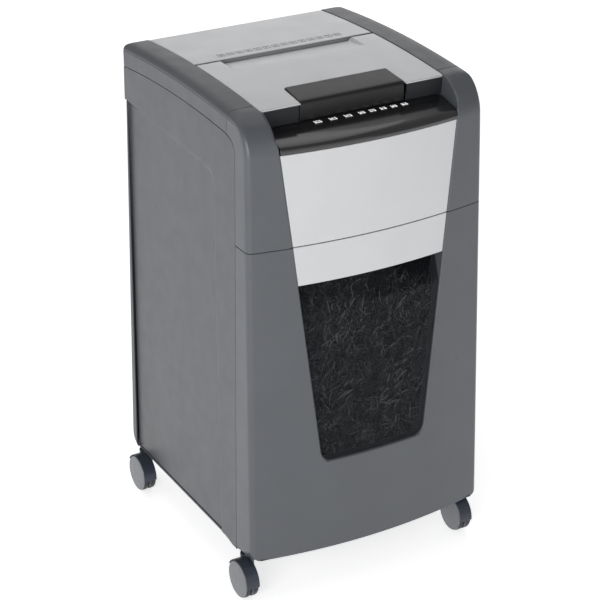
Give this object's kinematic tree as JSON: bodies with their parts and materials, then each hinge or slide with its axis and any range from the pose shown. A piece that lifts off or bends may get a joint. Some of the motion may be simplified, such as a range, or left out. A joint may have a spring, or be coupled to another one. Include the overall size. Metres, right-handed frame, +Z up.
{
  "type": "paper shredder",
  "caption": "Office paper shredder with a lift-up automatic feed lid, a slanted silver front, a windowed pull-out bin and swivelling twin-wheel casters.",
  "frame": {"origin": "on the floor under the middle of the cabinet", "axes": "+Z up, -Y towards the front with the bin and window, +X to the right seen from the front"},
  "size_m": [0.4213, 0.4281, 0.7409],
  "materials": {
    "grey_shell": "satin",
    "dark_trim": "satin",
    "silver_shell": "satin",
    "gloss_black": "gloss",
    "key_marks": "gloss",
    "black_plastic": "matt",
    "window_tint": "tinted clear",
    "sheet_steel": "zinc plated",
    "bright_steel": "ground",
    "cutter_steel": "hardened",
    "motor_paint": "semi gloss",
    "board_green": "lacquered",
    "roller_rubber": "matt",
    "gear_nylon": "satin",
    "rocker_red": "gloss",
    "caster_black": "satin",
    "wheel_grey": "satin"
  },
  "bodies": {
    "cabinet": {"base": "dark_trim", "side_left": "grey_shell", "side_right": "grey_shell", "rear_panel": "dark_trim", "head_rear": "dark_trim", "trim_left": "dark_trim", "trim_right": "dark_trim", "post_left": "grey_shell", "post_right": "grey_shell", "front_panel": "silver_shell", "control_panel": "gloss_black", "touch_keys": "key_marks", "indicators": "key_marks", "rear_cover": "silver_shell", "feed_tray": "black_plastic", "deck": "sheet_steel", "plate_left": "sheet_steel", "plate_right": "sheet_steel", "tie_rods": "bright_steel", "bearings": "bright_steel", "strippers": "black_plastic", "motor": "motor_paint", "control_board": "board_green", "power_board": "board_green", "mains_inlet": "black_plastic", "switch_frame": "black_plastic", "interlock": "black_plastic", "bin_rails": "sheet_steel", "frame_screws": "bright_steel"},
    "lid": {"lid_panel": "silver_shell", "lid_liner": "black_plastic", "handle": "gloss_black", "hinge_pins": "bright_steel", "press_springs": "bright_steel"},
    "press_plate": {"press_plate": "black_plastic"},
    "bin": {"bin_front": "grey_shell", "bin_strip": "silver_shell", "bin_window": "window_tint", "bin_tub": "black_plastic"},
    "front_cutter": {"cutter_front": "cutter_steel", "gear_front": "cutter_steel"},
    "rear_cutter": {"cutter_rear": "cutter_steel", "gear_rear": "cutter_steel"},
    "motor_spindle": {"motor_shaft": "bright_steel"},
    "feed_rollers": {"roller_shaft": "bright_steel", "rollers": "roller_rubber", "roller_gear": "gear_nylon"},
    "rocker": {"rocker": "rocker_red"},
    "caster_fl": {"hood_fl": "caster_black", "stem_fl": "bright_steel"},
    "wheels_fl": {"wheels_fl": "wheel_grey"},
    "caster_fr": {"hood_fr": "caster_black", "stem_fr": "bright_steel"},
    "wheels_fr": {"wheels_fr": "wheel_grey"},
    "caster_rl": {"hood_rl": "caster_black", "stem_rl": "bright_steel"},
    "wheels_rl": {"wheels_rl": "wheel_grey"},
    "caster_rr": {"hood_rr": "caster_black", "stem_rr": "bright_steel"},
    "wheels_rr": {"wheels_rr": "wheel_grey"}
  },
  "joints": [
    {"name": "lid_hinge", "type": "hinge", "parent": "cabinet", "child": "lid", "pos_m": [0, 0.045, 0.7303], "axis": [-1, 0, 0], "range_deg": [0, 80]},
    {"name": "press_slide", "type": "slide", "parent": "lid", "child": "press_plate", "axis": [0, 0, 1], "range_m": [0, 0.01], "stiffness_N_per_m": 400, "springref_m": -0.012, "deforming": ["press_springs"]},
    {"name": "bin_slide", "type": "slide", "parent": "cabinet", "child": "bin", "axis": [0, -1, 0], "range_m": [0, 0.36]},
    {"name": "rear_cutter_spin", "type": "hinge", "parent": "cabinet", "child": "rear_cutter", "pos_m": [0, 0.062, 0.6], "axis": [1, 0, 0], "continuous": true},
    {"name": "front_cutter_spin", "type": "hinge", "parent": "cabinet", "child": "front_cutter", "pos_m": [0, 0.018, 0.6], "axis": [1, 0, 0], "continuous": true},
    {"name": "motor_spin", "type": "hinge", "parent": "cabinet", "child": "motor_spindle", "pos_m": [0, 0.12503, 0.58889], "axis": [1, 0, 0], "continuous": true},
    {"name": "feed_spin", "type": "hinge", "parent": "cabinet", "child": "feed_rollers", "pos_m": [0, -0.02, 0.64899], "axis": [1, 0, 0], "continuous": true},
    {"name": "rocker_tilt", "type": "hinge", "parent": "cabinet", "child": "rocker", "pos_m": [-0.092, 0.199, 0.6], "axis": [1, 0, 0], "range_deg": [-8, 8]},
    {"name": "swivel_fl", "type": "hinge", "parent": "cabinet", "child": "caster_fl", "pos_m": [-0.1854, -0.157, 0.05], "axis": [0, 0, 1], "continuous": true},
    {"name": "roll_fl", "type": "hinge", "parent": "caster_fl", "child": "wheels_fl", "pos_m": [-0.2, -0.1735, 0.0285], "axis": [1, 0, 0], "continuous": true},
    {"name": "swivel_fr", "type": "hinge", "parent": "cabinet", "child": "caster_fr", "pos_m": [0.1854, -0.157, 0.05], "axis": [0, 0, 1], "continuous": true},
    {"name": "roll_fr", "type": "hinge", "parent": "caster_fr", "child": "wheels_fr", "pos_m": [0.1708, -0.1735, 0.0285], "axis": [1, 0, 0], "continuous": true},
    {"name": "swivel_rl", "type": "hinge", "parent": "cabinet", "child": "caster_rl", "pos_m": [-0.1854, 0.188, 0.05], "axis": [0, 0, 1], "continuous": true},
    {"name": "roll_rl", "type": "hinge", "parent": "caster_rl", "child": "wheels_rl", "pos_m": [-0.2, 0.1715, 0.0285], "axis": [1, 0, 0], "continuous": true},
    {"name": "swivel_rr", "type": "hinge", "parent": "cabinet", "child": "caster_rr", "pos_m": [0.1854, 0.188, 0.05], "axis": [0, 0, 1], "continuous": true},
    {"name": "roll_rr", "type": "hinge", "parent": "caster_rr", "child": "wheels_rr", "pos_m": [0.18367, 0.16604, 0.0285], "axis": [0.7986, 0.6018, 0], "continuous": true}
  ],
  "couplings": [
    {"joint": "front_cutter_spin", "follows": "rear_cutter_spin", "ratio": -1},
    {"joint": "motor_spin", "follows": "rear_cutter_spin", "ratio": -3},
    {"joint": "feed_spin", "follows": "rear_cutter_spin", "ratio": 0.55}
  ]
}
